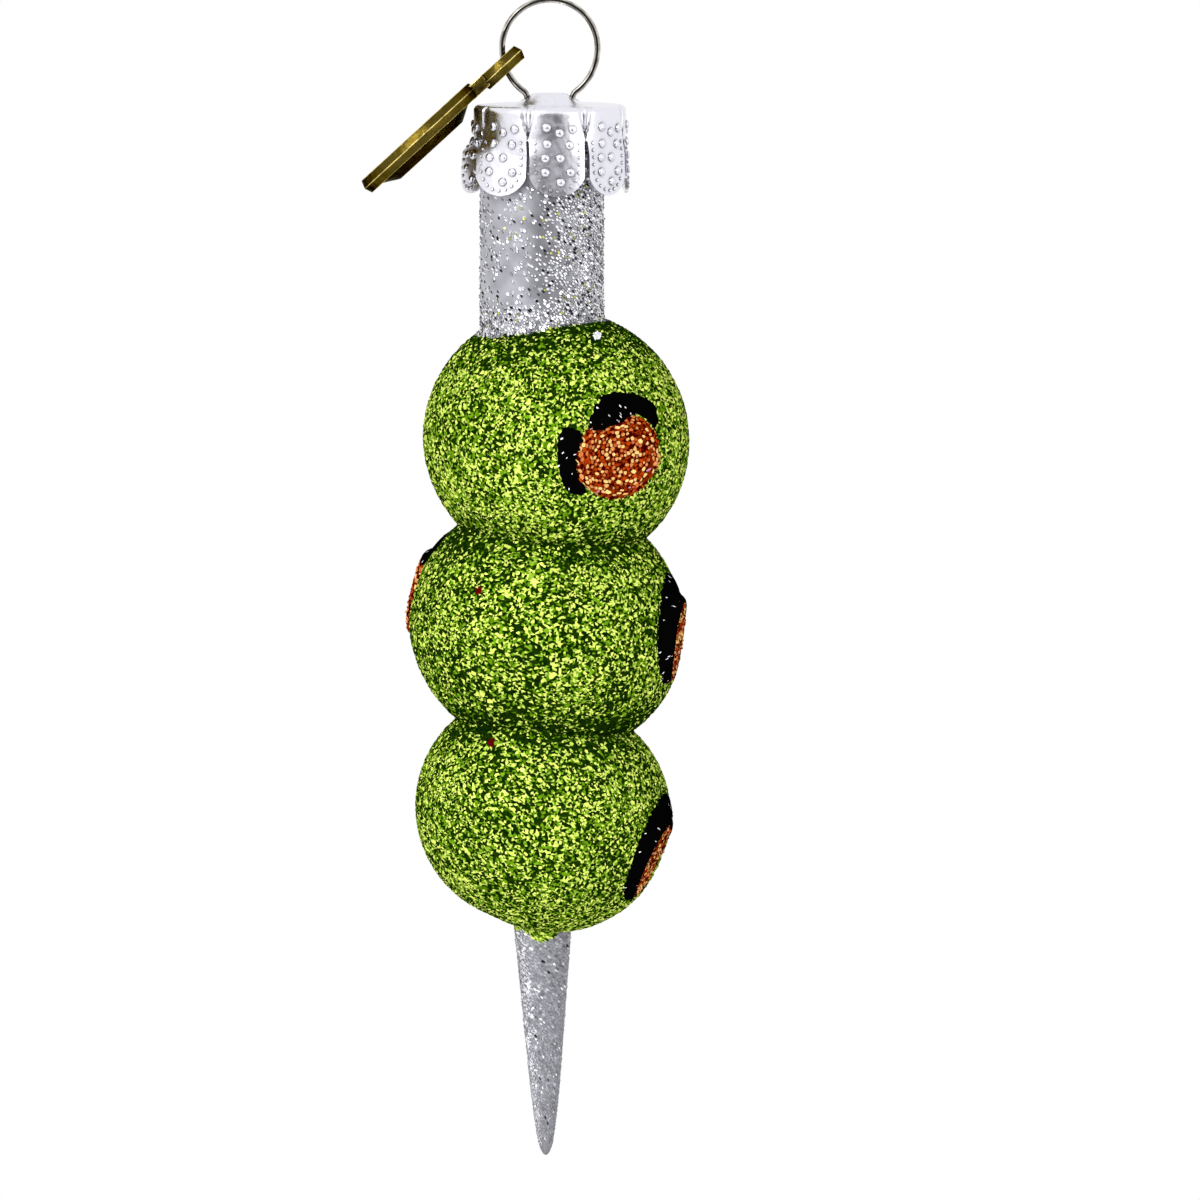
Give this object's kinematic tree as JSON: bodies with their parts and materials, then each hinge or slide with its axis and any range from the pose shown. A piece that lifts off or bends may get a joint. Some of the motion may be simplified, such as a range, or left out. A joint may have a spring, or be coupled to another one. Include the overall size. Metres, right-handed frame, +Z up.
{
  "type": "hanging glass ornament",
  "caption": "Hanging glass ornament of glittered green olives stacked on a silver cocktail pick, with a petalled metal cap, a spring wire hanger loop and a round brass tag.",
  "frame": {"origin": "inside top of the hanger's wire loop, where a hook or ribbon carries the ornament", "axes": "+Z up along the pick, front with the upper olive's pimento facing -Y, tag on the -X side"},
  "size_m": [0.0331, 0.0285, 0.1162],
  "materials": {
    "wire": "bright nickel spring wire",
    "cap": "bright stamped sheet",
    "tag": "antiqued, polished on the edges",
    "silvered_glass": "silvered inside",
    "silver_glitter": "satin silver lacquer with fine glitter",
    "green_glitter": "dense coarse glitter",
    "pimento_glitter": "dense glitter",
    "black_paint": "thick brushed enamel"
  },
  "bodies": {
    "hanger": {"hanger_wire": "wire", "cap_crown": "cap"},
    "glass": {"glass_body": "silvered_glass", "neck_glitter": "silver_glitter", "upper_olive_glitter": "green_glitter", "middle_olive_glitter": "green_glitter", "lower_olive_glitter": "green_glitter", "pick_glitter": "silver_glitter", "upper_pimento_front": "pimento_glitter", "upper_pimento_back": "pimento_glitter", "middle_pimento_right": "pimento_glitter", "middle_pimento_left": "pimento_glitter", "lower_pimento_right": "pimento_glitter", "lower_pimento_left": "pimento_glitter", "upper_strokes_front": "black_paint", "upper_strokes_back": "black_paint", "middle_strokes_right": "black_paint", "middle_strokes_left": "black_paint", "lower_strokes_right": "black_paint", "lower_strokes_left": "black_paint"},
    "tag": {"hang_tag": "tag"}
  },
  "joints": [
    {"name": "glass_pull", "type": "slide", "parent": "hanger", "child": "glass", "axis": [0, 0, -1], "range_m": [0, 0.017]},
    {"name": "tag_swing", "type": "hinge", "parent": "hanger", "child": "tag", "pos_m": [-0.00437, 0, -0.00631], "axis": [0, 1, 0], "range_deg": [0, 45]}
  ]
}
